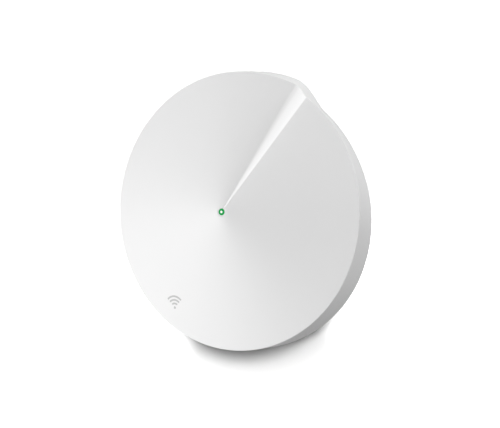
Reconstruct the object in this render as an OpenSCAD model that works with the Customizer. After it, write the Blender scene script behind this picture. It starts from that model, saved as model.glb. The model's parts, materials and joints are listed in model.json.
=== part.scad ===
// Mesh wifi node: a round desk unit whose shallow conical face winds up one turn to a step.
// Millimetres. +Z is up, the feet stand at z = 0 and the Z axis runs through the status light.
// Clock angles are counted from +Y, clockwise as seen from above.

/* [Face and outline] */
// Mean diameter of the face at its rim
face_d = 120; // [100:1:144]
// Height from the table to the tip of the face
total_h = 38; // [31.6:0.2:46]
// Height of the tip above the crest of the rim
cone_rise = 8.4; // [5:0.2:12]
// Radius that the rim gains in one turn
spiral_gain = 1.4; // [0:0.1:2]
// Clock angle of the crest of the step
crest_angle = 36.3; // [10:0.1:80]
// Angle that the slope of the step spans
riser_angle = 9.3; // [6:0.1:12]
// Fall of the rim over the even part of its turn
run_drop = 1.1; // [0:0.1:2]
// Extra fall into the valley beside the step
valley_drop = 3.7; // [1:0.1:4.5]
// How far the foot of the outer wall leans in beside the crest
lean_in = 3.3; // [1:0.1:4]
// How far the foot of the outer wall stands out over the even part
lean_out = 0.6; // [0:0.1:1.5]
// Further stand-out of the foot of the wall at the beak of the step
beak_out = 1.5; // [0:0.1:2]

/* [Shells] */
// Wall thickness of the top cover
top_wall = 2; // [1.6:0.1:2.6]
// Wall thickness of the bottom cover
tray_wall = 1.8; // [1.4:0.1:2.4]
// Radius lost by the side of the bottom cover from top to bottom
tray_taper = 4.5; // [2:0.5:6]
// Radial overhang of the top cover past the bottom cover beside the crest
eave = 2.2; // [1:0.1:3]
// Radius of the bosses for the case screws
boss_r = 3.4; // [3:0.1:4]
// Radius of a case screw's shank
screw_r = 1.25; // [1:0.05:1.5]
// Radius of a case screw's head
screw_head_r = 2.3; // [2:0.1:2.6]

/* [Feet] */
// Radius of a rubber foot
foot_r = 5; // [4:0.1:6]
// Height of a foot below the bottom cover
foot_h = 1.4; // [1:0.1:2.5]
// Clock angle of the first foot, mirrored to the other three
foot_angle = 36; // [30:1:38]

/* [Board] */
// Thickness of the main board
board_t = 1.6; // [1:0.1:2]
// Height of the cans over the chips, lid included
shield_h = 2.4; // [2:0.1:3]
// Thickness of the heat spreader's plate
spreader_t = 1.2; // [0.8:0.1:2]

/* [Ports] */
// Width of an ethernet jack
jack_w = 16; // [15:0.1:17.5]
// Height of an ethernet jack
jack_h = 11.2; // [10.8:0.1:13.5]
// Depth of an ethernet jack
jack_l = 21; // [18:0.5:22]
// Width of the bay that the ports open into
bay_w = 48; // [46:1:52]

/* [Reset button] */
// Radius of the reset button's cap
button_r = 2; // [1.5:0.1:2.6]
// Travel of the reset button
button_travel = 0.5; // [0.3:0.05:0.6]

/* [Light] */
// Radius of the status light's ring
light_r = 1.3; // [1.2:0.05:2.2]

/* [Hidden] */

$fn = 64;
eps = 0.01;

// Clearances
seat_gap = 0.1;      // between pieces that sit against each other
fit_gap = 0.15;      // round a piece in its own cut-out
lip_gap = 0.1;       // between the locating lip and the top cover, where they come closest
seam_gap = 0.1;      // between the two covers
run_gap = 0.08;      // radial, round the moving button
thread_gap = 0.05;   // radial, round a screw in its boss
part_gap = 0.5;      // between inner parts and the covers

// Heights, from the table up
crest_z = total_h - cone_rise;
floor_z = foot_h + tray_wall;
board_z = floor_z + seat_gap + jack_h;
board_top = board_z + board_t;
seam_z = board_z;
flange_t = 1.5;
flange_z = seam_z - seam_gap - flange_t;

// Radii, from the axis out
face_r = face_d / 2;
tray_top_r = face_r - lean_in - eave;
tray_bottom_r = tray_top_r - tray_taper;
board_r = tray_top_r - tray_wall - 2.5;
ring_in_r = board_r - 3.7;
foot_ring_r = tray_bottom_r - foot_r - 2.5;
board_screw_ring_r = board_r - 7;
board_screw_angles = [0, 50, 130, 180];
foot_angles = [foot_angle, 180 - foot_angle, 180 + foot_angle, 360 - foot_angle];

// A point at clock angle a and radius r
function at(a, r) = [r * sin(a), r * cos(a)];
function at3(a, r, z) = [r * sin(a), r * cos(a), z];
function clamp01(t) = max(0, min(1, t));
function between(p, q, t) = p + (q - p) * t;
function smooth(t) = let (c = clamp01(t)) c * c * (3 - 2 * c);
// A straight ramp from 0 to 1 with a round of its own at each end
function ramp(t, low, high) =
  let (m = 1 / (1 - (low + high) / 2))
  t < low ? m * t * t / (2 * low) : t < 1 - high ? m * (t - low / 2) : 1 - m * (1 - t) * (1 - t) / (2 * high);

// The turn starts at the crest and runs clockwise to the valley, then up the riser
run_angle = 360 - riser_angle;
valley_start = 0.865;  // share of the run after which the valley begins to fall
step_h = run_drop + valley_drop;
function turn(a) = (a - crest_angle + 720) % 360;
function run_share(a) = clamp01(turn(a) / run_angle);
function riser_share(a) = clamp01((turn(a) - run_angle) / riser_angle);
// The valley falls ever faster, and the riser steepens towards the crest
function valley_share(s) = pow(clamp01((s - valley_start) / (1 - valley_start)), 2.2);
function riser_rise(t) = between(ramp(t, 0.3, 0.05), t * t, 0.4);
function drop(a) =
  let (s = run_share(a))
  run_drop * s + valley_drop * valley_share(s) - step_h * riser_rise(riser_share(a));
function rim_r(a) = face_r + spiral_gain * (run_share(a) - 0.5) - spiral_gain * smooth(riser_share(a));
function rim_z(a) = crest_z - drop(a);
function face_z(a, r) = total_h - (total_h - rim_z(a)) * r / rim_r(a);

// Foot of the outer wall: leans in beside the crest, stands out further round, and ends in a beak
lean_start = 13.7;     // turn at which the wall starts to straighten
lean_span = 85;        // turn over which it straightens
notch_start = 345.7;   // turn at which the beak folds back
notch_span = 19;       // turn over which it folds back
function wall_run(u) =
  -lean_in + (lean_in + lean_out) * smooth((u - lean_start) / lean_span)
  + beak_out * smooth((u - 160) / (notch_start - 160));
function wall_out(u) =
  let (beak = wall_run(notch_start), t = (u < 180 ? u + 360 : u) - notch_start)
  t < 0 || t > notch_span ? wall_run(u) : beak + (-lean_in - beak) * smooth(t / notch_span);
function foot_of_wall_r(a) = face_r + wall_out(turn(a));

// Turn angles at which the outline is sampled: close together round the step, wider elsewhere
fine = 1;
wide = 5;
turns = concat(
  [for (u = [0:fine:9]) u],
  [for (u = [10:wide:340]) u],
  [for (u = [343:fine:359]) u]
);
outline_angles = [for (u = turns) u + crest_angle];
outline_n = len(outline_angles);
function outline(inset) = [for (a = outline_angles) at(a, foot_of_wall_r(a) - inset)];

// Heights under the face
ceiling_drop = run_drop + top_wall + part_gap;
function ceiling_z(r) = total_h - (cone_rise * r / face_r) - ceiling_drop;

// ---------------------------------------------------------------- helpers

// A solid from rings of equal length, closed by a point at each end
function ring_faces(n, rings) = concat(
  [for (k = [0:rings - 2], i = [0:n - 1]) let (j = (i + 1) % n) [k * n + i, k * n + j, (k + 1) * n + i]],
  [for (k = [0:rings - 2], i = [0:n - 1]) let (j = (i + 1) % n)
    [k * n + j, (k + 1) * n + j, (k + 1) * n + i]]
);
function fan(n, base, centre) = [for (i = [0:n - 1]) [centre, base + (i + 1) % n, base + i]];
function fan_back(n, base, centre) = [for (i = [0:n - 1]) [centre, base + i, base + (i + 1) % n]];

// A box from its centre in plan and its lowest height
module block(centre, size, z) {
  translate([centre[0] - size[0] / 2, centre[1] - size[1] / 2, z]) cube(size);
}
module disc(centre, r, z, h) {
  translate([centre[0], centre[1], z]) cylinder(r = r, h = h);
}
module pipe(centre, r, bore, z, h) {
  difference() {
    disc(centre, r, z, h);
    disc(centre, bore, z - 1, h + 2);
  }
}

// ---------------------------------------------------------------- covers

edge_r = 0.4;          // round between the face and the wall
edge_steps = [0, 30, 60, 90];

// Section of the outer skin at clock angle a, from the face down to the foot of the wall
function skin(a) = let (r = rim_r(a) - edge_r, z = face_z(a, r) - edge_r) concat(
  [for (e = edge_steps) at3(a, r + edge_r * sin(e), z + edge_r * cos(e))],
  [at3(a, foot_of_wall_r(a), seam_z)]
);
// The same section on the inside, from the foot of the wall back up to the face
function lining(a) = let (r = rim_r(a) - top_wall) [
  at3(a, foot_of_wall_r(a) - top_wall, seam_z),
  at3(a, r, face_z(a, r) - top_wall)
];
sections = [
  for (i = [outline_n - 1:-1:0]) let (a = outline_angles[i]) concat(skin(a), lining(a))
];
section_n = len(sections[0]);
shell_points = concat(
  [for (k = [0:section_n - 1], s = sections) s[k]],
  [[0, 0, total_h], [0, 0, total_h - top_wall]]
);
shell_faces = concat(
  ring_faces(outline_n, section_n),
  fan(outline_n, 0, section_n * outline_n),
  fan_back(outline_n, (section_n - 1) * outline_n, section_n * outline_n + 1)
);

boss_sink = 1.2;       // how deep a boss ends in the face
// Everything below the face, less the depth at which bosses end
module under_face() {
  n = outline_n;
  rim = [for (i = [n - 1:-1:0]) let (a = outline_angles[i]) at3(a, rim_r(a), rim_z(a) - boss_sink)];
  base = [for (p = rim) [p[0], p[1], seam_z]];
  polyhedron(
    concat(rim, base, [[0, 0, total_h - boss_sink], [0, 0, seam_z]]),
    concat(ring_faces(n, 2), fan(n, 0, 2 * n), fan_back(n, n, 2 * n + 1))
  );
}
guide_r = light_r + fit_gap;
tower_r = guide_r + 2.2;
tower_z = board_top + 3.2;

module top_cover() color("white") {
  difference() {
    union() {
      polyhedron(shell_points, shell_faces);
      intersection() {
        union() {
          for (a = foot_angles) disc(at(a, foot_ring_r), boss_r, seam_z, total_h);
          disc([0, 0], tower_r, tower_z, total_h);
        }
        under_face();
      }
    }
    disc([0, 0], guide_r, tower_z - 1, total_h);
    for (a = foot_angles)
      disc(at(a, foot_ring_r), screw_r + thread_gap, seam_z - 1, pilot_l + 1);
  }
}

// Side of the bottom cover as a solid of revolution
corner_r = 2.5;
module tray_form(inset, low) {
  rotate_extrude($fn = 96)
    polygon([
      [0, low],
      [tray_bottom_r - inset - corner_r, low],
      for (e = [15:15:75])
        [tray_bottom_r - inset - corner_r + corner_r * sin(e), low + corner_r - corner_r * cos(e)],
      [tray_bottom_r - inset, low + corner_r],
      [tray_top_r - inset, seam_z - seam_gap],
      [0, seam_z - seam_gap]
    ]);
}

// The bay: a notch in the side, roofed by the flange and closed at the back by a wall with a window
bay_wall = 2;
bay_x = sqrt(tray_bottom_r * tray_bottom_r - bay_w * bay_w / 4) - 1.4;
window_w = bay_w - 2;
window_lo = floor_z - 0.6;
window_hi = flange_z - 0.2;
module bay_block() {
  translate([-face_r, -bay_w / 2 - bay_wall, 0])
    cube([face_r - bay_x + bay_wall, bay_w + 2 * bay_wall, seam_z - seam_gap]);
}
module bay_void() {
  translate([-face_r - 5, -bay_w / 2, -1]) cube([face_r + 5 - bay_x, bay_w, flange_z + 1]);
  translate([-bay_x - 1, -window_w / 2, window_lo]) cube([bay_wall + 2, window_w, window_hi - window_lo]);
}

// Lip that centres the top cover, split where the bay is
lip_t = 1.4;
lip_h = 3;
flange_inset = 0.9;
wall_lean = (lean_out + beak_out - spiral_gain / 2) / (crest_z - step_h - seam_z);
lip_inset = top_wall + lip_gap + wall_lean * lip_h;

// Case screws come up from below, with their heads under the feet
foot_sink = 0.8;
head_sink = 2.4;
head_h = 1.5;
pilot_l = 8;
case_post_r = boss_r;
head_z = foot_h + head_sink;
button_pos = [0, -(tray_bottom_r - 14)];
collar_r = button_r + 0.6;
guide_top = floor_z + 3.2;
label_size = [38, 22, 0.3];

vent_w = 1.6;
vent_l = 9;
vent_out_r = tray_bottom_r - 11;
vent_pitch = 4;
function away(a, b, gap) = abs((a - b + 540) % 360 - 180) > gap;
vent_angles = [
  for (a = [2:vent_pitch:358])
    if (away(a, 270, 46) && away(a, 180, 9) && min([for (f = foot_angles) away(a, f, 9) ? 1 : 0]) > 0) a
];

module bottom_cover() color("whitesmoke") {
  difference() {
    union() {
      difference() {
        tray_form(0, foot_h);
        tray_form(tray_wall, floor_z);
      }
      intersection() {
        tray_form(0, foot_h);
        bay_block();
      }
      difference() {
        translate([0, 0, flange_z]) linear_extrude(flange_t) polygon(outline(flange_inset));
        disc([0, 0], tray_top_r - tray_wall, flange_z - 1, flange_t + 2);
      }
      difference() {
        translate([0, 0, flange_z + eps]) linear_extrude(flange_t + lip_h) polygon(outline(lip_inset));
        translate([0, 0, flange_z - 1]) linear_extrude(lip_h + 4) polygon(outline(lip_inset + lip_t));
      }
      difference() {
        for (a = foot_angles) disc(at(a, foot_ring_r), foot_r, foot_h, head_sink + 1);
        jack_room();
      }
      for (a = foot_angles)
        disc(at(a, foot_ring_r), case_post_r, foot_h, seam_z - seam_gap - foot_h);
      for (a = board_screw_angles)
        disc(at(a, board_screw_ring_r), board_post_r, floor_z - eps, board_z - floor_z + eps);
      disc(button_pos, collar_r + 1, foot_h, guide_top - foot_h);
    }
    bay_void();
    for (a = foot_angles) {
      disc(at(a, foot_ring_r), foot_r + seat_gap, foot_h - 1, 1 + foot_sink);
      disc(at(a, foot_ring_r), screw_head_r + fit_gap, foot_h - 1, 1 + head_sink);
      disc(at(a, foot_ring_r), screw_r + fit_gap, foot_h, seam_z);
    }
    for (a = board_screw_angles)
      disc(at(a, board_screw_ring_r), board_screw_r + thread_gap, board_z - board_screw_l, board_screw_l + 1);
    disc(button_pos, button_r + run_gap, 0, guide_top + 1);
    translate([-label_size[0] / 2, -label_size[1] / 2, foot_h - 1])
      cube([label_size[0], label_size[1], 1 + label_size[2] + seat_gap]);
    for (a = vent_angles)
      rotate([0, 0, -a])
        translate([-vent_w / 2, vent_out_r - vent_l, foot_h - 1])
          cube([vent_w, vent_l, tray_wall + 2]);
  }
}

module foot_at(a) color("dimgray") {
  disc(at(a, foot_ring_r), foot_r, 0.4, foot_h + foot_sink - 0.4);
  disc(at(a, foot_ring_r), foot_r - 0.4, 0, 0.5);
}

module label_plate() color("lightgray") {
  plate = [label_size[0] - 2 * fit_gap, label_size[1] - 2 * fit_gap, label_size[2]];
  block([0, 0], plate, foot_h + seat_gap / 2);
}

// A round-headed screw from its head's seat; up is 1 for a shank that points up
module screw(centre, seat_z, r, head_r, h, l, up) {
  head_low = up > 0 ? seat_z - h : seat_z;
  shank_low = up > 0 ? seat_z : seat_z - l;
  difference() {
    union() {
      disc(centre, head_r, head_low, h);
      disc(centre, r, shank_low - (up > 0 ? eps : 0), l + eps);
    }
    for (t = [0, 90])
      translate([centre[0], centre[1], up > 0 ? seat_z - h : seat_z + h])
        rotate([0, 0, t]) cube([head_r * 1.3, 0.45, 1.2], center = true);
  }
}

module case_screws() color("gray") {
  for (a = foot_angles)
    screw(at(a, foot_ring_r), head_z, screw_r, screw_head_r, head_h, seam_z + pilot_l - 1 - head_z, 1);
}

board_screw_r = 1;
board_screw_l = 6;
board_post_r = 2.6;
module board_screws() color("gray") {
  for (a = board_screw_angles)
    screw(at(a, board_screw_ring_r), board_top, board_screw_r, 2, 1.2, board_t + board_screw_l - 1, -1);
}

// ---------------------------------------------------------------- light

ring_h = 2;
core_r = 0.5;
ring_top = total_h - 0.12;
flare_r = 3;
led_h = 0.8;
guide_foot = board_top + led_h + 0.6;

module light_ring() color("mediumseagreen") {
  pipe([0, 0], light_r, core_r + 0.03, ring_top - ring_h, ring_h);
}
module light_core() color("white") {
  disc([0, 0], core_r, ring_top - ring_h, total_h - ring_top + ring_h);
}
module light_guide() color("aliceblue") {
  disc([0, 0], light_r, guide_foot, ring_top - ring_h - guide_foot);
  disc([0, 0], flare_r, guide_foot, tower_z - seat_gap - guide_foot);
}
module status_led() color("lightyellow") {
  block([0, 0], [1.6, 1.6, led_h], board_top);
}

// ---------------------------------------------------------------- reset button

switch_h = 2;
stem_r = 1.2;
plunger_r = 0.8;
plunger_in = 0.6;      // how far the plunger reaches into the switch at rest
plunger_h = plunger_in + button_travel + 0.1;
button_low = foot_h - 0.3;
switch_z = board_z - switch_h;
plunger_z = switch_z - plunger_h + plunger_in;

module reset_button() color("gainsboro") {
  disc(button_pos, button_r, button_low, guide_top - button_low + 0.05);
  disc(button_pos, collar_r, guide_top + 0.05, 1);
  disc(button_pos, stem_r, guide_top, plunger_z - guide_top);
}
module reset_plunger() color("black") {
  disc(button_pos, plunger_r, plunger_z, plunger_h);
}
module reset_switch() color("silver") {
  difference() {
    block(button_pos, [4.5, 4.5, switch_h], switch_z);
    disc(button_pos, plunger_r + run_gap, switch_z - 1, 1 + plunger_in + button_travel + 0.3);
  }
}

// ---------------------------------------------------------------- board and what is on it

module main_board() color("seagreen") {
  difference() {
    disc([0, 0], board_r, board_z, board_t);
    for (a = foot_angles)
      disc(at(a, foot_ring_r), boss_r + 0.4, board_z - 1, board_t + 2);
    for (a = board_screw_angles)
      disc(at(a, board_screw_ring_r), board_screw_r + fit_gap, board_z - 1, board_t + 2);
    translate([-board_r - 1, -bay_w / 2 - bay_wall - 1, board_z - 1])
      cube([board_r + 1 - bay_x + bay_wall + seat_gap - 1.5, bay_w + 2 * bay_wall + 2, board_t + 2]);
  }
}

shield_size = [20, 24];
shield_y = 3;
shield_x = 17.5;
lid_t = 0.25;
can_t = 0.3;
module shield_frame(x) {
  inside = [shield_size[0] - 2 * can_t, shield_size[1] - 2 * can_t, shield_h + 2];
  difference() {
    block([x, shield_y], [shield_size[0], shield_size[1], shield_h - lid_t], board_top);
    block([x, shield_y], inside, board_top - 1);
  }
}
module shield_lid(x) {
  block([x, shield_y], [shield_size[0], shield_size[1], lid_t], board_top + shield_h - lid_t);
}
module processor_shield_frame() color("silver") { shield_frame(-shield_x); }
module processor_shield_lid() color("silver") { shield_lid(-shield_x); }
module radio_shield_frame() color("silver") { shield_frame(shield_x); }
module radio_shield_lid() color("silver") { shield_lid(shield_x); }

chip_t = 1.4;
module chip(centre, w, l) { block(centre, [w, l, chip_t], board_top); }
module processor() color("black") { chip([-shield_x, shield_y - 4], 13, 13); }
module memory_chip() color("black") { chip([-shield_x, shield_y + 7], 12, 7); }
module low_band_radio() color("black") { chip([shield_x, shield_y - 6], 9, 9); }
module high_band_radio() color("black") { chip([shield_x, shield_y + 5], 9, 9); }
module flash_chip() color("black") { chip([0, 24], 8, 6); }

// Heat spreader: a plate with ribs over both cans, on four standoffs
pad_t = 0.8;
spreader_z = board_top + shield_h + pad_t;
spreader_hw = board_r - 8;
spreader_lo = -15;
spreader_hi = 22;
standoffs = [[0, -12], [0, 18], [-(spreader_hw - 2.5), shield_y], [spreader_hw - 2.5, shield_y]];
standoff_r = 1.9;
rib_top = ceiling_z(ring_in_r) - part_gap;
rib_t = 1.2;
ribs = 5;
module heat_spreader() color("lightgray") {
  difference() {
    intersection() {
      union() {
        translate([-spreader_hw, spreader_lo, spreader_z])
          cube([2 * spreader_hw, spreader_hi - spreader_lo, spreader_t]);
        for (side = [-1, 1], k = [0:ribs - 1])
          translate([side * (9 + 4.5 * k) - rib_t / 2, spreader_lo + 2, spreader_z])
            cube([rib_t, spreader_hi - spreader_lo - 4, rib_top - spreader_z]);
      }
      disc([0, 0], ring_in_r - 3, spreader_z, total_h);
    }
    disc([0, 0], tower_r + 1.2, spreader_z - 1, total_h);
    for (p = standoffs) disc(p, 1.1, spreader_z - 1, spreader_t + 2);
    for (x = [-1, 1]) disc([x * (spreader_hw - 2.5), shield_y], 2.6, spreader_z + spreader_t, total_h);
  }
}
module spreader_standoffs() color("goldenrod") {
  for (p = standoffs) pipe(p, standoff_r, 0.85, board_top, spreader_z - board_top);
}
module spreader_screws() color("gray") {
  for (p = standoffs)
    screw(p, spreader_z + spreader_t, 0.8, 1.7, 1, spreader_t + 2.5, -1);
}
module thermal_pads() color("lightsteelblue") {
  for (x = [-shield_x, shield_x])
    block([x, shield_y], [16, 16, pad_t], board_top + shield_h);
}

// ---------------------------------------------------------------- ports

jack_pitch = jack_w + 1.5;
jack_y = [-14.5, -14.5 + jack_pitch];
jack_x = -bay_x + bay_wall + seat_gap;
jack_z = board_z - jack_h;
can_wall = 0.4;
socket_w = 11.9;
socket_h = 6.8;
socket_l = 14;
socket_z = jack_z + 2.3;
latch_w = 6.4;
latch_h = 1.6;
usb_y = jack_y[1] + jack_w / 2 + 7;
usb_z = socket_z + 3.6;
usb_w = 8.94;
usb_h = 3.16;
usb_l = 7.4;
usb_wall = 0.3;

module socket_space(y, grow) {
  translate([-bay_x - 1, y - socket_w / 2 - grow, socket_z - grow])
    cube([socket_l + bay_wall + 1 - grow, socket_w + 2 * grow, socket_h + 2 * grow]);
  translate([-bay_x - 1, y - latch_w / 2 - grow, socket_z - latch_h - grow])
    cube([socket_l + bay_wall + 1 - grow, latch_w + 2 * grow, latch_h + 2 * grow]);
}
// A slot with round ends, along X from the face of the ports
module round_slot(w, h, x, l) {
  translate([x, usb_y, usb_z]) rotate([90, 0, 90]) linear_extrude(l) {
    square([w - h, h], center = true);
    for (s = [-1, 1]) translate([s * (w - h) / 2, 0]) circle(d = h, $fn = 32);
  }
}

// The space of the two jacks on the floor, which no boss may enter
module jack_room() {
  translate([-bay_x, jack_y[0] - jack_w / 2 - seat_gap, floor_z])
    cube([jack_x + bay_x + jack_l + seat_gap, jack_pitch + jack_w + 2 * seat_gap, jack_h]);
}
module port_bezel() color("lightgray") {
  difference() {
    translate([-bay_x, -window_w / 2 + seat_gap, window_lo + seat_gap])
      cube([bay_wall, window_w - 2 * seat_gap, window_hi - window_lo - 2 * seat_gap]);
    for (y = jack_y) socket_space(y, fit_gap);
    round_slot(usb_w + 2 * fit_gap, usb_h + 2 * fit_gap, -bay_x - 1, bay_wall + 2);
  }
}
module jack_shell(y) color("silver") {
  inside = [jack_l + 2 - 2 * can_wall, jack_w - 2 * can_wall, jack_h - 2 * can_wall];
  difference() {
    block([jack_x + jack_l / 2, y], [jack_l, jack_w, jack_h], jack_z);
    block([jack_x + jack_l / 2 - 1, y], inside, jack_z + can_wall);
  }
}
module jack_insert(y) color("dimgray") {
  inner = [jack_l - can_wall - seat_gap, jack_w - 2 * can_wall - seat_gap, jack_h - 2 * can_wall - seat_gap];
  difference() {
    block([jack_x + inner[0] / 2, y], inner, jack_z + can_wall + seat_gap / 2);
    socket_space(y, 0);
  }
}
module jack_contacts(y) color("gold") {
  for (k = [0:7])
    translate([jack_x + 2.6, y + (k - 3.5) * 1.02 - 0.18, socket_z + socket_h - 0.5])
      rotate([0, 9, 0]) cube([socket_l - 1.2, 0.36, 0.25]);
}
module ethernet_jack_1_shell() { jack_shell(jack_y[0]); }
module ethernet_jack_1_insert() { jack_insert(jack_y[0]); }
module ethernet_jack_1_contacts() { jack_contacts(jack_y[0]); }
module ethernet_jack_2_shell() { jack_shell(jack_y[1]); }
module ethernet_jack_2_insert() { jack_insert(jack_y[1]); }
module ethernet_jack_2_contacts() { jack_contacts(jack_y[1]); }

transformer_size = [9, 15, 5.6];
transformer_x = jack_x + jack_l + 1.5;
module transformer(y) color("black") {
  block([transformer_x + transformer_size[0] / 2, y], transformer_size, board_z - transformer_size[2]);
}
module ethernet_transformer_1() { transformer(jack_y[0]); }
module ethernet_transformer_2() { transformer(jack_y[1]); }

module usb_c_shell() color("silver") {
  difference() {
    round_slot(usb_w, usb_h, -bay_x, usb_l);
    round_slot(usb_w - 2 * usb_wall, usb_h - 2 * usb_wall, -bay_x - 1, usb_l + 1 - usb_wall);
  }
}
module usb_c_tongue() color("black") {
  tongue_l = 4.5;
  translate([-bay_x + usb_l - usb_wall - tongue_l, usb_y - 3.3, usb_z - 0.35]) cube([tongue_l, 6.6, 0.7]);
}
module usb_c_riser() color("dimgray") {
  low = usb_z + usb_h / 2;
  translate([-bay_x + bay_wall + seat_gap, usb_y - 4, low])
    cube([usb_l - bay_wall - seat_gap, 8, board_z - low]);
}

module network_switch_chip() color("black") {
  block([18, -10], [12, 12, chip_t], board_z - chip_t);
}
module power_inductors() color("dimgray") {
  for (p = [[12, 12], [12, 21], [21, 14]]) block(p, [6.5, 6.5, 3], board_z - 3);
}
capacitor_x = transformer_x + transformer_size[0] + 3.2;
module power_capacitors() color("tan") {
  for (p = [[capacitor_x, -20], [capacitor_x + 8, -20], [2, 24]]) disc(p, 2.6, board_z - 6, 6);
}
module clock_crystal() color("silver") {
  block([-shield_x + 14.5, 11], [3.2, 2.5, 0.8], board_top);
}
module short_range_antenna() color("lightgray") {
  block([-9, 32], [7, 2, 1.2], board_top);
}

// ---------------------------------------------------------------- antennas

antenna_angles = [62, 118, 242, 298];
frame_h = 2;
frame_top = board_top + frame_h;
antenna_r = board_r - 1.4;
antenna_w = 24;
antenna_t = 0.8;
antenna_low = frame_top + 0.6;
antenna_top = ceiling_z(board_r + 1) - part_gap;
cheek = 1.6;
cheek_h = min(4, antenna_top - frame_top);

module antenna_frame() color("dimgray") {
  difference() {
    union() {
      pipe([0, 0], board_r, ring_in_r, board_top, frame_h);
      for (a = antenna_angles, s = [-1, 1])
        rotate([0, 0, -a])
          translate([s * antenna_w / 2 - 1.5, antenna_r - antenna_t / 2 - cheek, frame_top - 1])
            cube([3, antenna_t + 2 * cheek, cheek_h + 1]);
    }
    for (a = antenna_angles)
      rotate([0, 0, -a])
        translate([-antenna_w / 2 - seat_gap, antenna_r - antenna_t / 2 - seat_gap, antenna_low - seat_gap])
          cube([antenna_w + 2 * seat_gap, antenna_t + 2 * seat_gap, total_h]);
    for (a = foot_angles) disc(at(a, foot_ring_r), boss_r + 0.2, board_top - 1, frame_h + 2);
  }
}
module antenna(a) color("goldenrod") {
  rotate([0, 0, -a])
    translate([-antenna_w / 2, antenna_r - antenna_t / 2, antenna_low])
      cube([antenna_w, antenna_t, antenna_top - antenna_low]);
}
module antenna_1() { antenna(antenna_angles[0]); }
module antenna_2() { antenna(antenna_angles[1]); }
module antenna_3() { antenna(antenna_angles[2]); }
module antenna_4() { antenna(antenna_angles[3]); }

// Coaxial leads: each runs round inside the frame's cheeks and then in to its own connector
lead_r = 0.55;
lead_z = frame_top + lead_r + 0.2;
plugs = [[16, -20], [9, -22], [-9, -22], [-16, -20]];
plug_h = 1.8;
lane_end = [56, 52, 52, 56];  // clock angles from the front at which the leads turn in
lane_step = 8;         // degrees between points along a lane
module antenna_connectors() color("gold") {
  for (p = plugs) disc(p, 1.3, board_top, plug_h);
}

// One pass of corner cutting: every corner becomes two, and the ends stay
function cut_corners(p) = concat(
  [p[0]],
  [for (i = [0:len(p) - 2]) each [between(p[i], p[i + 1], 0.25), between(p[i], p[i + 1], 0.75)]],
  [p[len(p) - 1]]
);
// Route of lead k: from its antenna inwards, round along its lane, in across the board to its plug
function lead_route(k) =
  let (
    a = antenna_angles[k],
    side = a < 180 ? 1 : -1,
    near = k == 1 || k == 2,
    lane = ring_in_r - (near ? 0.6 : 1.9),
    from = a + side * 7,
    end = 180 - side * lane_end[k],
    n = max(1, round(abs(end - from) / lane_step)),
    inner = at3(end, lane, lead_z),
    plug = [plugs[k][0], plugs[k][1], board_top + plug_h + lead_r + 0.05],
    start_r = antenna_r - antenna_t / 2 - 0.05
  )
  concat(
    [at3(a, start_r, lead_z + 0.8), at3(a, start_r - 1, lead_z + 0.8)],
    [at3(a + side * 3, lane + 0.4, lead_z + 0.5)],
    [for (i = [0:n]) at3(from + (end - from) * i / n, lane, lead_z)],
    [between(inner, plug, 0.4)],
    [plug]
  );

// A round tube of eight sides swept along points, with its ends square to the first and last stretch
function unit(v) = v / norm(v);
function heading(p, i) = unit(p[min(i + 1, len(p) - 1)] - p[max(i - 1, 0)]);
function tube_ring(p, i, r) =
  let (h = heading(p, i), s = unit(cross(h, [0, 0.01, 1])), u = cross(s, h))
  [for (k = [0:7]) p[i] + r * (cos(45 * k) * s + sin(45 * k) * u)];
module tube(p, r) {
  n = len(p);
  points = [for (i = [0:n - 1]) each tube_ring(p, i, r)];
  sides = ring_faces(8, n);
  polyhedron(points, concat([[for (k = [7:-1:0]) k]], sides, [[for (k = [0:7]) (n - 1) * 8 + k]]));
}
module antenna_lead(k) color("black") { tube(cut_corners(lead_route(k)), lead_r); }
module antenna_lead_1() { antenna_lead(0); }
module antenna_lead_2() { antenna_lead(1); }
module antenna_lead_3() { antenna_lead(2); }
module antenna_lead_4() { antenna_lead(3); }

module foot_rear_right() { foot_at(foot_angles[0]); }
module foot_front_right() { foot_at(foot_angles[1]); }
module foot_front_left() { foot_at(foot_angles[2]); }
module foot_rear_left() { foot_at(foot_angles[3]); }

// ---------------------------------------------------------------- assembly

top_cover();
bottom_cover();
light_ring();
light_core();
light_guide();
port_bezel();
label_plate();
foot_rear_right();
foot_front_right();
foot_front_left();
foot_rear_left();
case_screws();
board_screws();
reset_button();
reset_plunger();
reset_switch();
main_board();
heat_spreader();
spreader_standoffs();
spreader_screws();
thermal_pads();
processor_shield_frame();
processor_shield_lid();
radio_shield_frame();
radio_shield_lid();
processor();
memory_chip();
flash_chip();
low_band_radio();
high_band_radio();
network_switch_chip();
ethernet_jack_1_shell();
ethernet_jack_1_insert();
ethernet_jack_1_contacts();
ethernet_jack_2_shell();
ethernet_jack_2_insert();
ethernet_jack_2_contacts();
ethernet_transformer_1();
ethernet_transformer_2();
usb_c_shell();
usb_c_tongue();
usb_c_riser();
status_led();
antenna_frame();
antenna_1();
antenna_2();
antenna_3();
antenna_4();
antenna_lead_1();
antenna_lead_2();
antenna_lead_3();
antenna_lead_4();
antenna_connectors();
short_range_antenna();
power_inductors();
power_capacitors();
clock_crystal();
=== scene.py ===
"""Mesh wifi node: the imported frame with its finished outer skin, materials, light and camera.

The unit lies on its feet in the frame, with +Z out of its face. Lengths are in millimetres in the
shape functions and are turned into metres when a mesh is made. Clock angles run clockwise from +Y,
as seen from above.
"""

import json
import math

import bpy
import numpy as np
from mathutils import Matrix, Vector


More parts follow.
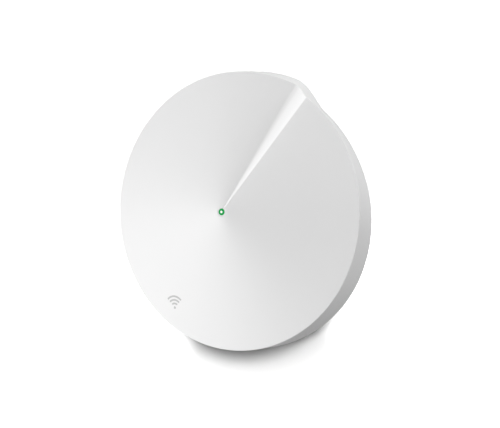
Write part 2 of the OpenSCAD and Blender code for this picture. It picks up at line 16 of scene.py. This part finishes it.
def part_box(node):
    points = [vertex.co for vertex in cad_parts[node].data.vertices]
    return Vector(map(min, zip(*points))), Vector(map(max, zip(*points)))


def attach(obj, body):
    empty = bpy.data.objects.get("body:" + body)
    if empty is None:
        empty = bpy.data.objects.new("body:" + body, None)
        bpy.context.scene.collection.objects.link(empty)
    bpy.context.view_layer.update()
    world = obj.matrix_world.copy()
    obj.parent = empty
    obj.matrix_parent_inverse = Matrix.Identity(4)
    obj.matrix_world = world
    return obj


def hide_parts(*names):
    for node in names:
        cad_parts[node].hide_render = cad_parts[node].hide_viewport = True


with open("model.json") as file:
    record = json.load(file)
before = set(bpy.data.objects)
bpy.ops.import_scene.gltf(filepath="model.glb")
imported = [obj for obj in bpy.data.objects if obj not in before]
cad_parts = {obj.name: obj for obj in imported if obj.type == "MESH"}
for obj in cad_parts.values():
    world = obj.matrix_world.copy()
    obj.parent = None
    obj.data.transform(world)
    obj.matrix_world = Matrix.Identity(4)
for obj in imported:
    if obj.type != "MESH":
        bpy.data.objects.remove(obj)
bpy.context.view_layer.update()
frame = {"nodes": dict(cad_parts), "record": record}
NODES = frame["nodes"]
MM = 0.001
HOUSING = "housing"


def low(node):
    """Lowest corner of a CAD node in millimetres."""
    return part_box(node)[0] / MM


def high(node):
    """Highest corner of a CAD node in millimetres."""
    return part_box(node)[1] / MM


# ------------------------------------------------------------------ the shape of the face
# Heights come from the frame. The values below them repeat the design's own, in millimetres and
# degrees: the frame holds only finished solids, and the skin needs the curves behind them.
TOTAL_H = high("light_core").z
SEAM_Z = low("top_cover").z
BOARD_TOP = high("main_board").z
FACE_R = 60.0
CONE_RISE = 8.4
SPIRAL_GAIN = 1.4
TOP_WALL = 2.0
# The rim: its crest and riser, then how far it falls along the run and in the valley
CREST_ANGLE = 36.3
RISER_ANGLE = 9.3
RUN_ANGLE = 360.0 - RISER_ANGLE
RUN_DROP = 1.1
VALLEY_DROP = 3.7
VALLEY_START = 0.865
VALLEY_POWER = 2.2
STEP_H = RUN_DROP + VALLEY_DROP
RISER_EASE = (0.3, 0.05)
RISER_CURVE = 0.4
# The wall: how far its foot leans in past the crest, and out along the run and at the beak
LEAN_IN = 3.3
LEAN_OUT = 0.6
LEAN_START = 13.7
LEAN_SPAN = 85.0
BEAK_OUT = 1.5
BEAK_START = 160.0
NOTCH_START = 345.7
NOTCH_SPAN = 19.0
# Finish that only this skin has: rounded edges, and a crest that is eased down at its shoulder
EDGE_R = 0.4
LIP_EDGE_R = 0.3
SHOULDER_DROP = 0.16
SHOULDER_ANGLE = 1.6


def smooth(t):
    """An S-curve from 0 to 1, flat beyond its ends."""
    t = np.clip(t, 0, 1)
    return t * t * (3 - 2 * t)


def ramp(t, lower, upper):
    """A straight ramp from 0 to 1 with a round of its own at each end."""
    m = 1 / (1 - (lower + upper) / 2)
    middle = m * (t - lower / 2)
    start = m * t * t / (2 * lower)
    end = 1 - m * (1 - t) ** 2 / (2 * upper)
    return np.where(t < lower, start, np.where(t < 1 - upper, middle, end))


def turn(a):
    """Degrees clockwise from the crest."""
    return (np.asarray(a, float) - CREST_ANGLE) % 360


def run_share(a):
    """How far along the run a clock angle is: 0 at the crest, 1 at the foot of the riser."""
    return np.clip(turn(a) / RUN_ANGLE, 0, 1)


def riser_share(a):
    """How far up the riser a clock angle is: 0 at its foot, 1 at the crest."""
    return np.clip((turn(a) - RUN_ANGLE) / RISER_ANGLE, 0, 1)


def rim_z(a):
    """Height of the rim: a slow fall, a valley that falls ever faster, and a riser up to the crest."""
    share, climb = run_share(a), riser_share(a)
    valley = np.clip((share - VALLEY_START) / (1 - VALLEY_START), 0, 1) ** VALLEY_POWER
    rise = (1 - RISER_CURVE) * ramp(climb, *RISER_EASE) + RISER_CURVE * climb * climb
    shoulder = np.where(climb > 0, climb**3, np.exp(-turn(a) / SHOULDER_ANGLE)) * SHOULDER_DROP
    return TOTAL_H - CONE_RISE - RUN_DROP * share - VALLEY_DROP * valley + STEP_H * rise - shoulder


def rim_r(a):
    """Radius of the rim, which grows along the run and comes back on the riser."""
    return FACE_R + SPIRAL_GAIN * (run_share(a) - 0.5) - SPIRAL_GAIN * smooth(riser_share(a))


def face_z(a, r):
    """Height of the face, which is straight from the tip of the cone to the rim."""
    return TOTAL_H - (TOTAL_H - rim_z(a)) * r / rim_r(a)


def wall_run(u):
    """How far the foot of the wall stands out from the face's radius, u degrees past the crest."""
    straighten = (LEAN_IN + LEAN_OUT) * smooth((u - LEAN_START) / LEAN_SPAN)
    return -LEAN_IN + straighten + BEAK_OUT * smooth((u - BEAK_START) / (NOTCH_START - BEAK_START))


def foot_of_wall_r(a):
    """Radius of the wall's foot. From the beak it folds back in, under the riser and the crest."""
    u = turn(a)
    t = np.where(u < 180, u + 360, u) - NOTCH_START
    beak = wall_run(NOTCH_START)
    fold = beak + (-LEAN_IN - beak) * smooth(t / NOTCH_SPAN)
    return FACE_R + np.where((t < 0) | (t > NOTCH_SPAN), wall_run(u), fold)


# ------------------------------------------------------------------ mesh helpers
def make_object(name, points_mm, faces, smooth_angle=40.0):
    """A mesh object from points in millimetres, shaded smooth below an edge angle in degrees."""
    mesh = bpy.data.meshes.new(name)
    mesh.from_pydata((np.asarray(points_mm) * MM).tolist(), [], faces)
    mesh.validate()
    mesh.update()
    mesh.shade_smooth()
    mesh.set_sharp_from_angle(angle=math.radians(smooth_angle))
    obj = bpy.data.objects.new(name, mesh)
    bpy.context.scene.collection.objects.link(obj)
    return obj


def polar(a, r, z):
    """Points at clock angles a, radius r and height z, as an array of rows."""
    a = np.radians(a)
    r = np.broadcast_to(r, a.shape)
    z = np.broadcast_to(z, a.shape)
    return np.stack([r * np.sin(a), r * np.cos(a), z], axis=-1)


def closed_loops(loops):
    """Quads of a ring-shaped solid whose section runs through all the loops and back to the first."""
    count, n = len(loops), len(loops[0])
    points = np.concatenate(loops)
    faces = []
    for k in range(count):
        here, there = k * n, ((k + 1) % count) * n
        for i in range(n):
            j = (i + 1) % n
            faces.append((here + i, there + i, there + j, here + j))
    return points, faces


def arc(start, end, steps):
    """Angles in radians that divide an arc, given in degrees, into equal steps."""
    return [math.radians(start + (end - start) * i / steps) for i in range(steps + 1)]


# ------------------------------------------------------------------ materials
GRAIN_HEIGHT = 0.00002
TRACK_HEIGHT = 0.00003
SOFT_EDGE = 0.0003
EDGE_SAMPLES = 6


def new_material(name):
    """A material, its nodes and links, and its shader."""
    mat = bpy.data.materials.new(name)
    mat.use_nodes = True
    nodes = mat.node_tree.nodes
    return mat, nodes, mat.node_tree.links, nodes["Principled BSDF"]


def object_coords(nodes, links, scale):
    coords = nodes.new("ShaderNodeTexCoord")
    mapping = nodes.new("ShaderNodeMapping")
    mapping.inputs["Scale"].default_value = scale
    links.new(coords.outputs["Object"], mapping.inputs["Vector"])
    return mapping.outputs["Vector"]


def noise(nodes, links, vector, scale, detail=3.0):
    tex = nodes.new("ShaderNodeTexNoise")
    tex.inputs["Scale"].default_value = scale
    tex.inputs["Detail"].default_value = detail
    links.new(vector, tex.inputs["Vector"])
    return tex.outputs["Fac"]


def two_tone(nodes, links, fac, dark, light):
    """A colour between dark and light, as the pattern says."""
    mix = nodes.new("ShaderNodeMix")
    mix.data_type = "RGBA"
    mix.inputs[6].default_value = (*dark, 1)
    mix.inputs[7].default_value = (*light, 1)
    links.new(fac, mix.inputs[0])
    return mix.outputs[2]


def spread(nodes, links, fac, lowest, highest):
    """A pattern from 0 to 1, spread between two values."""
    remap = nodes.new("ShaderNodeMapRange")
    remap.inputs["To Min"].default_value = lowest
    remap.inputs["To Max"].default_value = highest
    links.new(fac, remap.inputs["Value"])
    return remap.outputs["Result"]


def bump(nodes, links, shader, fac, strength, distance, edge=0.0):
    """Relief from a pattern, over edges that are rounded by the given radius in metres."""
    node = nodes.new("ShaderNodeBump")
    if edge:
        rounded = nodes.new("ShaderNodeBevel")
        rounded.samples = EDGE_SAMPLES
        rounded.inputs["Radius"].default_value = edge
        links.new(rounded.outputs["Normal"], node.inputs["Normal"])
    node.inputs["Strength"].default_value = strength
    node.inputs["Distance"].default_value = distance
    links.new(fac, node.inputs["Height"])
    links.new(node.outputs["Normal"], shader.inputs["Normal"])


def moulded(name, tone, tint=(1, 1, 1), rough=(0.34, 0.42), grain=2600.0, depth=0.12, edge=0.0):
    """Moulded plastic: a spark-eroded grain, slight unevenness in gloss and a trace of mottling."""
    mat, nodes, links, shader = new_material(name)
    vector = object_coords(nodes, links, (1, 1, 1))
    cloud = noise(nodes, links, vector, 38.0)
    fine = noise(nodes, links, vector, grain, 2.0)
    dark = [tone * c * 0.985 for c in tint]
    light = [min(1.0, tone * c * 1.01) for c in tint]
    links.new(two_tone(nodes, links, cloud, dark, light), shader.inputs["Base Color"])
    links.new(spread(nodes, links, fine, *rough), shader.inputs["Roughness"])
    bump(nodes, links, shader, fine, depth, GRAIN_HEIGHT, edge)
    return mat


def metal(name, colour, rough=(0.25, 0.4), stretch=(1, 1, 1), scale=900.0, depth=0.08):
    """Metal with a grain: stretched for a rolled or brushed face, even for a cast one."""
    mat, nodes, links, shader = new_material(name)
    vector = object_coords(nodes, links, stretch)
    grain = noise(nodes, links, vector, scale, 4.0)
    dark = [c * 0.88 for c in colour]
    links.new(two_tone(nodes, links, grain, dark, colour), shader.inputs["Base Color"])
    links.new(spread(nodes, links, grain, *rough), shader.inputs["Roughness"])
    shader.inputs["Metallic"].default_value = 1.0
    bump(nodes, links, shader, grain, depth, GRAIN_HEIGHT)
    return mat


def glowing(name, colour, strength):
    """A lit translucent moulding, a little brighter where the light behind it is nearest."""
    mat, nodes, links, shader = new_material(name)
    vector = object_coords(nodes, links, (1, 1, 1))
    cloud = noise(nodes, links, vector, 900.0, 2.0)
    edge = [c * 0.9 for c in colour]
    glow = two_tone(nodes, links, cloud, edge, colour)
    links.new(glow, shader.inputs["Emission Color"])
    shader.inputs["Emission Strength"].default_value = strength
    shader.inputs["Base Color"].default_value = (*[c * 0.1 for c in colour], 1)
    shader.inputs["Roughness"].default_value = 0.5
    shader.inputs["Specular IOR Level"].default_value = 0.1
    return mat


def board_material():
    """Green solder mask over copper tracks, over a woven laminate."""
    mat, nodes, links, shader = new_material("solder_mask")
    vector = object_coords(nodes, links, (1, 1, 1))
    tracks = nodes.new("ShaderNodeTexBrick")
    tracks.inputs["Scale"].default_value = 260.0
    tracks.inputs["Mortar Size"].default_value = 0.12
    tracks.inputs["Color1"].default_value = (0.02, 0.17, 0.085, 1)
    tracks.inputs["Color2"].default_value = (0.024, 0.2, 0.1, 1)
    tracks.inputs["Mortar"].default_value = (0.035, 0.27, 0.13, 1)
    links.new(vector, tracks.inputs["Vector"])
    links.new(tracks.outputs["Color"], shader.inputs["Base Color"])
    weave = noise(nodes, links, vector, 1500.0)
    links.new(spread(nodes, links, weave, 0.25, 0.38), shader.inputs["Roughness"])
    bump(nodes, links, shader, tracks.outputs["Fac"], 0.2, TRACK_HEIGHT)
    return mat


def clear_material():
    """Clear acrylic, with slight flow marks from the mould."""
    mat, nodes, links, shader = new_material("clear_acrylic")
    vector = object_coords(nodes, links, (1, 1, 1))
    flow = noise(nodes, links, vector, 400.0)
    links.new(spread(nodes, links, flow, 0.03, 0.1), shader.inputs["Roughness"])
    shader.inputs["Base Color"].default_value = (0.93, 0.97, 0.97, 1)
    shader.inputs["Transmission Weight"].default_value = 0.9
    shader.inputs["IOR"].default_value = 1.49
    return mat


LEAD_STRETCH = (1, 1, 0.2)
MATERIALS = {
    "face_plastic": moulded("face_plastic", 0.88),
    "base_plastic": moulded(
        "base_plastic", 0.84, rough=(0.45, 0.6), grain=1500.0, depth=0.35, edge=SOFT_EDGE
    ),
    "light_green": glowing("light_green", (0.012, 0.38, 0.085), 0.85),
    "light_white": glowing("light_white", (0.98, 1.0, 0.96), 1.0),
    "clear_guide": clear_material(),
    "label": moulded("label_film", 0.62, rough=(0.5, 0.62), grain=900.0, depth=0.1),
    "rubber": moulded("rubber", 0.055, rough=(0.7, 0.9), grain=1200.0, depth=0.6, edge=SOFT_EDGE),
    "screw_steel": metal("screw_steel", (0.5, 0.5, 0.51)),
    "black_plastic": moulded("black_plastic", 0.03, rough=(0.4, 0.55), grain=1400.0, depth=0.4),
    "switch_metal": metal("switch_metal", (0.66, 0.66, 0.65), stretch=LEAD_STRETCH),
    "board_green": board_material(),
    "aluminium": metal("cast_aluminium", (0.76, 0.77, 0.78), rough=(0.45, 0.6), depth=0.4),
    "brass": metal("brass", (0.78, 0.58, 0.26)),
    "pad": moulded("thermal_pad", 0.42, tint=(0.8, 0.92, 1.1), rough=(0.7, 0.85), depth=0.5),
    "shield_tin": metal("tinned_sheet", (0.72, 0.72, 0.7), stretch=(0.1, 1, 1), depth=0.15),
    "chip_black": moulded("chip_epoxy", 0.022, rough=(0.5, 0.65), grain=2000.0, depth=0.3),
    "gold": metal("gold_plate", (0.85, 0.6, 0.22), rough=(0.18, 0.3)),
    "lead_black": moulded("lead_jacket", 0.02, rough=(0.35, 0.5), grain=700.0, depth=0.2),
    "ceramic": moulded("ceramic", 0.75, tint=(1, 0.98, 0.93), rough=(0.3, 0.45)),
    "capacitor_tan": metal("capacitor_sleeve", (0.6, 0.57, 0.5), rough=(0.3, 0.45)),
}


def paint_nodes():
    """Give each CAD node the material of its slot in the record."""
    for part in frame["record"]["subparts"]:
        mesh = NODES[part["node"]].data
        mesh.materials.clear()
        mesh.materials.append(MATERIALS[part["material_slot"]])


paint_nodes()

# ------------------------------------------------------------------ top cover
LIGHT_R = (high("light_ring").x - low("light_ring").x) / 2
LIGHT_GAP = 0.15
BORE_R = LIGHT_R + LIGHT_GAP
BORE_EDGE = 0.15
BORE_ROUND = 0.3
TOWER_R = BORE_R + 2.2
TOWER_Z = BOARD_TOP + 3.2
# Where the loops lie, as shares of each stretch of the section
FACE_STEPS = (0.0, 0.03, 0.1, 0.22, 0.36, 0.5, 0.64, 0.78, 0.9, 0.97, 1.0)
WALL_STEPS = (0.12, 0.3, 0.5, 0.7, 0.88, 1.0)
INNER_WALL_STEPS = (0.35, 0.7, 1.0)
CEILING_STEPS = (0.3, 0.6, 1.0)


def dense_angles():
    """Clock angles round the outline, close together round the step and wider elsewhere."""
    runs = [
        (0.0, 6.0, 0.15),
        (6.0, 20.0, 0.5),
        (20.0, 330.0, 1.25),
        (330.0, RUN_ANGLE - 1, 0.5),
        (RUN_ANGLE - 1, 360.0, 0.1),
    ]
    turns = np.concatenate([np.arange(start, end - step / 4, step) for start, end, step in runs])
    return turns + CREST_ANGLE


def cover_loops(a):
    """The section of the top cover, as loops of points: out over the face, down, in and back up."""
    rim, edge_z = rim_r(a), face_z(a, rim_r(a) - EDGE_R)
    foot = foot_of_wall_r(a)
    loops = [polar(a, BORE_R, face_z(a, BORE_R) - BORE_EDGE)]
    bevel = BORE_EDGE * BORE_ROUND
    loops.append(polar(a, BORE_R + bevel, face_z(a, BORE_R) - bevel))
    start = BORE_R + BORE_EDGE
    for t in FACE_STEPS:
        r = start + (rim - EDGE_R - start) * t
        loops.append(polar(a, r, face_z(a, r)))
    for e in arc(0, 90, 6)[1:]:
        r = rim - EDGE_R + EDGE_R * math.sin(e)
        loops.append(polar(a, r, edge_z - EDGE_R * (1 - math.cos(e))))
    wall_top = edge_z - EDGE_R
    for t in WALL_STEPS:
        z = wall_top + (SEAM_Z + LIP_EDGE_R - wall_top) * t
        loops.append(polar(a, rim + (foot - rim) * t, z))
    for e in arc(0, 90, 4)[1:]:
        r = foot - LIP_EDGE_R * (1 - math.cos(e))
        loops.append(polar(a, r, SEAM_Z + LIP_EDGE_R * (1 - math.sin(e))))
    inner = rim - TOP_WALL
    loops.append(polar(a, foot - TOP_WALL, SEAM_Z))
    top = face_z(a, inner) - TOP_WALL
    for t in INNER_WALL_STEPS:
        r = foot - TOP_WALL + (inner - foot + TOP_WALL) * t
        loops.append(polar(a, r, SEAM_Z + (top - SEAM_Z) * t))
    for t in CEILING_STEPS:
        r = inner + (TOWER_R - inner) * t
        loops.append(polar(a, r, face_z(a, r) - TOP_WALL))
    loops.append(polar(a, TOWER_R, TOWER_Z))
    loops.append(polar(a, BORE_R, TOWER_Z))
    return loops


def build_top_cover():
    """The top cover's moulding at a fine mesh, in place of the CAD node."""
    points, faces = closed_loops(cover_loops(dense_angles()))
    cover = make_object("top_cover_moulding", points, faces, 50.0)
    cover.data.materials.append(MATERIALS["face_plastic"])
    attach(cover, HOUSING)
    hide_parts("top_cover")


build_top_cover()

# ------------------------------------------------------------------ printed symbol
SYMBOL_CLOCK = 213.0
SYMBOL_R = 51.5
SYMBOL_LINE = 0.8
SYMBOL_ARCS = (1.9, 3.5, 5.1)
SYMBOL_SPREAD = 46
DOT_R = 0.6
DOT_SIDES = 24
INK_T = 0.02


def on_face(points):
    """Heights on the face for points in plan."""
    a = np.degrees(np.arctan2(points[:, 0], points[:, 1]))
    return face_z(a, np.hypot(points[:, 0], points[:, 1]))


def ink(outline, centre):
    """A thin closed patch on the face: an outline in plan round a centre, all in millimetres."""
    plan = np.array([centre] + list(outline))
    z = on_face(plan)
    n = len(outline)
    top = np.column_stack([plan, z + INK_T])
    base = np.column_stack([plan, z - INK_T])
    faces = []
    for i in range(n):
        j = (i + 1) % n
        faces.append((0, 1 + i, 1 + j))
        faces.append((n + 1, n + 2 + j, n + 2 + i))
        faces.append((1 + i, n + 2 + i, n + 2 + j, 1 + j))
    return np.concatenate([top, base]), faces


def ink_band(radius, steps=20):
    """The outer edge of an arc of the symbol, and its inner edge in the opposite direction."""
    ends = [math.radians(-SYMBOL_SPREAD + 2 * SYMBOL_SPREAD * i / steps) for i in range(steps + 1)]
    inner, outer = radius - SYMBOL_LINE / 2, radius + SYMBOL_LINE / 2
    rim = [(outer * math.sin(e), outer * math.cos(e)) for e in ends]
    back = [(inner * math.sin(e), inner * math.cos(e)) for e in reversed(ends)]
    return rim, back


def ink_strip(rim, back):
    """A thin closed strip between two rows of points that run in opposite directions."""
    pairs = list(zip(rim, reversed(back)))
    plan = np.array([p for pair in pairs for p in pair])
    z = on_face(plan)
    points = np.concatenate([np.column_stack([plan, z + INK_T]), np.column_stack([plan, z - INK_T])])
    n, last = len(plan), len(plan) - 2
    faces = [(0, 1, n + 1, n), (last + 1, last, n + last, n + last + 1)]
    for k in range(0, last, 2):
        faces.append((k, k + 2, k + 3, k + 1))
        faces.append((n + k, n + k + 1, n + k + 3, n + k + 2))
        faces.append((k, n + k, n + k + 2, k + 2))
        faces.append((k + 1, k + 3, n + k + 3, n + k + 1))
    return points, faces


def build_symbol():
    """A plain signal symbol, three arcs over a dot, printed near the rim and upright along +Y."""
    a = math.radians(SYMBOL_CLOCK)
    middle = np.array([SYMBOL_R * math.sin(a), SYMBOL_R * math.cos(a)])
    turns = [2 * math.pi * i / DOT_SIDES for i in range(DOT_SIDES)]
    dot = [middle + DOT_R * np.array([math.cos(t), math.sin(t)]) for t in turns]
    shapes = [ink(dot, middle)]
    for radius in SYMBOL_ARCS:
        edges = [[middle + np.array(p) for p in edge] for edge in ink_band(radius)]
        shapes.append(ink_strip(*edges))
    points, faces = [], []
    for part_points, part_faces in shapes:
        base = len(points)
        points.extend(part_points.tolist())
        faces.extend(tuple(base + i for i in face) for face in part_faces)
    symbol = make_object("printed_symbol", points, faces, 30.0)
    symbol.data.materials.append(moulded("grey_ink", 0.56, rough=(0.45, 0.6), grain=2200.0))
    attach(symbol, HOUSING)


build_symbol()


# ------------------------------------------------------------------ floor, light and camera
FLOOR_SIZE = 6000.0
FLOOR_DROP = 0.02
FLOOR_CELLS = 24
FLOOR_DARK = (0.59, 0.59, 0.59)
FLOOR_LIGHT = (0.61, 0.61, 0.61)


def build_floor():
    """A wide, pale floor. It is lit on its own, so that it stays white round the white object."""
    line = np.linspace(-FLOOR_SIZE / 2, FLOOR_SIZE / 2, FLOOR_CELLS + 1)
    points = [(x, y, -FLOOR_DROP) for y in line for x in line]
    row = FLOOR_CELLS + 1
    faces = []
    for j in range(FLOOR_CELLS):
        for i in range(FLOOR_CELLS):
            k = j * row + i
            faces.append((k, k + 1, k + row + 1, k + row))
    floor = make_object("floor", points, faces)
    mat, nodes, links, shader = new_material("floor_paper")
    vector = object_coords(nodes, links, (1, 1, 1))
    grain = noise(nodes, links, vector, 60.0)
    links.new(two_tone(nodes, links, grain, FLOOR_DARK, FLOOR_LIGHT), shader.inputs["Base Color"])
    shader.inputs["Roughness"].default_value = 0.9
    shader.inputs["Specular IOR Level"].default_value = 0.0
    floor.data.materials.append(mat)
    floor.visible_diffuse = False
    floor.visible_glossy = False
    floor.visible_shadow = False
    return floor


floor = build_floor()

WASH_CONE = 44
WASH_HEIGHT = 110
KEY_ANGLE = math.radians(52)
SIDE_ANGLE = math.radians(66)
FILL_BELOW, FILL_ABOVE = 0.26, 0.3


def light_group(name, objects, state):
    """A group for light linking, whose objects a light is limited to or kept from."""
    group = bpy.data.collections.new(name)
    for obj in objects:
        group.objects.link(obj)
    for entry in group.collection_objects:
        entry.light_linking.link_state = state
    return group


def sun(name, towards, strength, angle, group):
    """A far light shining from the given direction, on the objects that its group lets it reach."""
    data = bpy.data.lights.new(name, "SUN")
    data.energy = strength
    data.angle = math.radians(angle)
    lamp = bpy.data.objects.new(name, data)
    lamp.rotation_mode = "QUATERNION"
    lamp.rotation_quaternion = Vector(towards).to_track_quat("Z", "Y")
    bpy.context.scene.collection.objects.link(lamp)
    lamp.light_linking.receiver_collection = group


def wash(name, spot_mm, energy, group):
    """A soft pool of light on the floor, which nothing shades."""
    data = bpy.data.lights.new(name, "SPOT")
    data.energy = energy
    data.spot_size = math.radians(WASH_CONE)
    data.spot_blend = 1.0
    data.use_shadow = False
    lamp = bpy.data.objects.new(name, data)
    lamp.location = (spot_mm[0] * MM, spot_mm[1] * MM, WASH_HEIGHT * MM)
    bpy.context.scene.collection.objects.link(lamp)
    lamp.light_linking.receiver_collection = group


not_floor = light_group("all_but_the_floor", [floor], "EXCLUDE")
only_floor = light_group("the_floor_alone", [floor], "INCLUDE")
# On the object: a key over its left edge, and three grazing lights that shade its wall and its step
sun("key", (-math.sin(KEY_ANGLE), -0.4, math.cos(KEY_ANGLE)), 2.76, 54, not_floor)
sun("side", (math.sin(SIDE_ANGLE), math.cos(SIDE_ANGLE), 0.03), 1.4, 30, not_floor)
sun("rake", (-0.8, 0.6, 0.0), 0.5, 30, not_floor)
sun("edge", (0.12, 0.98, 0.03), 1.45, 12, not_floor)
# On the floor: two suns that cast the shadow, and two washes that lighten it at its sides
sun("ground", (0.46, 0.28, 0.84), 3.9, 15, only_floor)
sun("ground_streak", (0.24, 0.46, 0.85), 2.4, 26, only_floor)
wash("wash_left", (-74, -54), 1.2, only_floor)
wash("wash_right", (66, -34), 1.5, only_floor)


def build_world():
    """An even grey surround for fill, and plain white where the camera looks past the floor."""
    world = bpy.data.worlds.new("studio")
    bpy.context.scene.world = world
    world.use_nodes = True
    nodes, links = world.node_tree.nodes, world.node_tree.links
    fill = nodes["Background"]
    fill.inputs["Color"].default_value = (1, 1, 1, 1)
    coords = nodes.new("ShaderNodeTexCoord")
    axes = nodes.new("ShaderNodeSeparateXYZ")
    links.new(coords.outputs["Generated"], axes.inputs["Vector"])
    links.new(spread(nodes, links, axes.outputs["Z"], FILL_BELOW, FILL_ABOVE), fill.inputs["Strength"])
    white = nodes.new("ShaderNodeBackground")
    white.inputs["Color"].default_value = (1, 1, 1, 1)
    path = nodes.new("ShaderNodeLightPath")
    mix = nodes.new("ShaderNodeMixShader")
    links.new(path.outputs["Is Camera Ray"], mix.inputs[0])
    links.new(fill.outputs[0], mix.inputs[1])
    links.new(white.outputs[0], mix.inputs[2])
    links.new(mix.outputs[0], nodes["World Output"].inputs["Surface"])


build_world()


CAMERA_DISTANCE = 400.0
CAMERA_YAW, CAMERA_PITCH, CAMERA_ROLL = math.radians(30.33), math.radians(0.89), math.radians(0.73)
AIM_RIGHT, AIM_UP = 8.06, -0.95
SENSOR_W = 36.0
LENS = 66.9


def build_camera():
    """A camera to the right of the face and level with it, with the image's up along +Y.

    It stands at its distance from the centre of the rim, and looks a little to one side of it.
    """
    flat = math.cos(CAMERA_PITCH)
    back = Vector((math.sin(CAMERA_YAW) * flat, math.sin(CAMERA_PITCH), math.cos(CAMERA_YAW) * flat))
    right = Vector((0, 1, 0)).cross(back).normalized()
    up = back.cross(right)
    tilted_right = right * math.cos(CAMERA_ROLL) + up * math.sin(CAMERA_ROLL)
    tilted_up = up * math.cos(CAMERA_ROLL) - right * math.sin(CAMERA_ROLL)
    axis_z = (back * CAMERA_DISTANCE - tilted_right * AIM_RIGHT - tilted_up * AIM_UP).normalized()
    axis_x = tilted_up.cross(axis_z).normalized()
    axis_y = axis_z.cross(axis_x)
    centre = Vector((0, 0, TOTAL_H - CONE_RISE))
    place = Matrix.Translation((centre + back * CAMERA_DISTANCE) * MM)
    data = bpy.data.cameras.new("camera")
    data.sensor_width = SENSOR_W
    data.lens = LENS
    data.clip_start, data.clip_end = 0.01, 20
    cam = bpy.data.objects.new("camera", data)
    cam.matrix_world = place @ Matrix((axis_x, axis_y, axis_z)).transposed().to_4x4()
    bpy.context.scene.collection.objects.link(cam)
    bpy.context.scene.camera = cam


build_camera()
bpy.context.scene.view_settings.view_transform = "Standard"
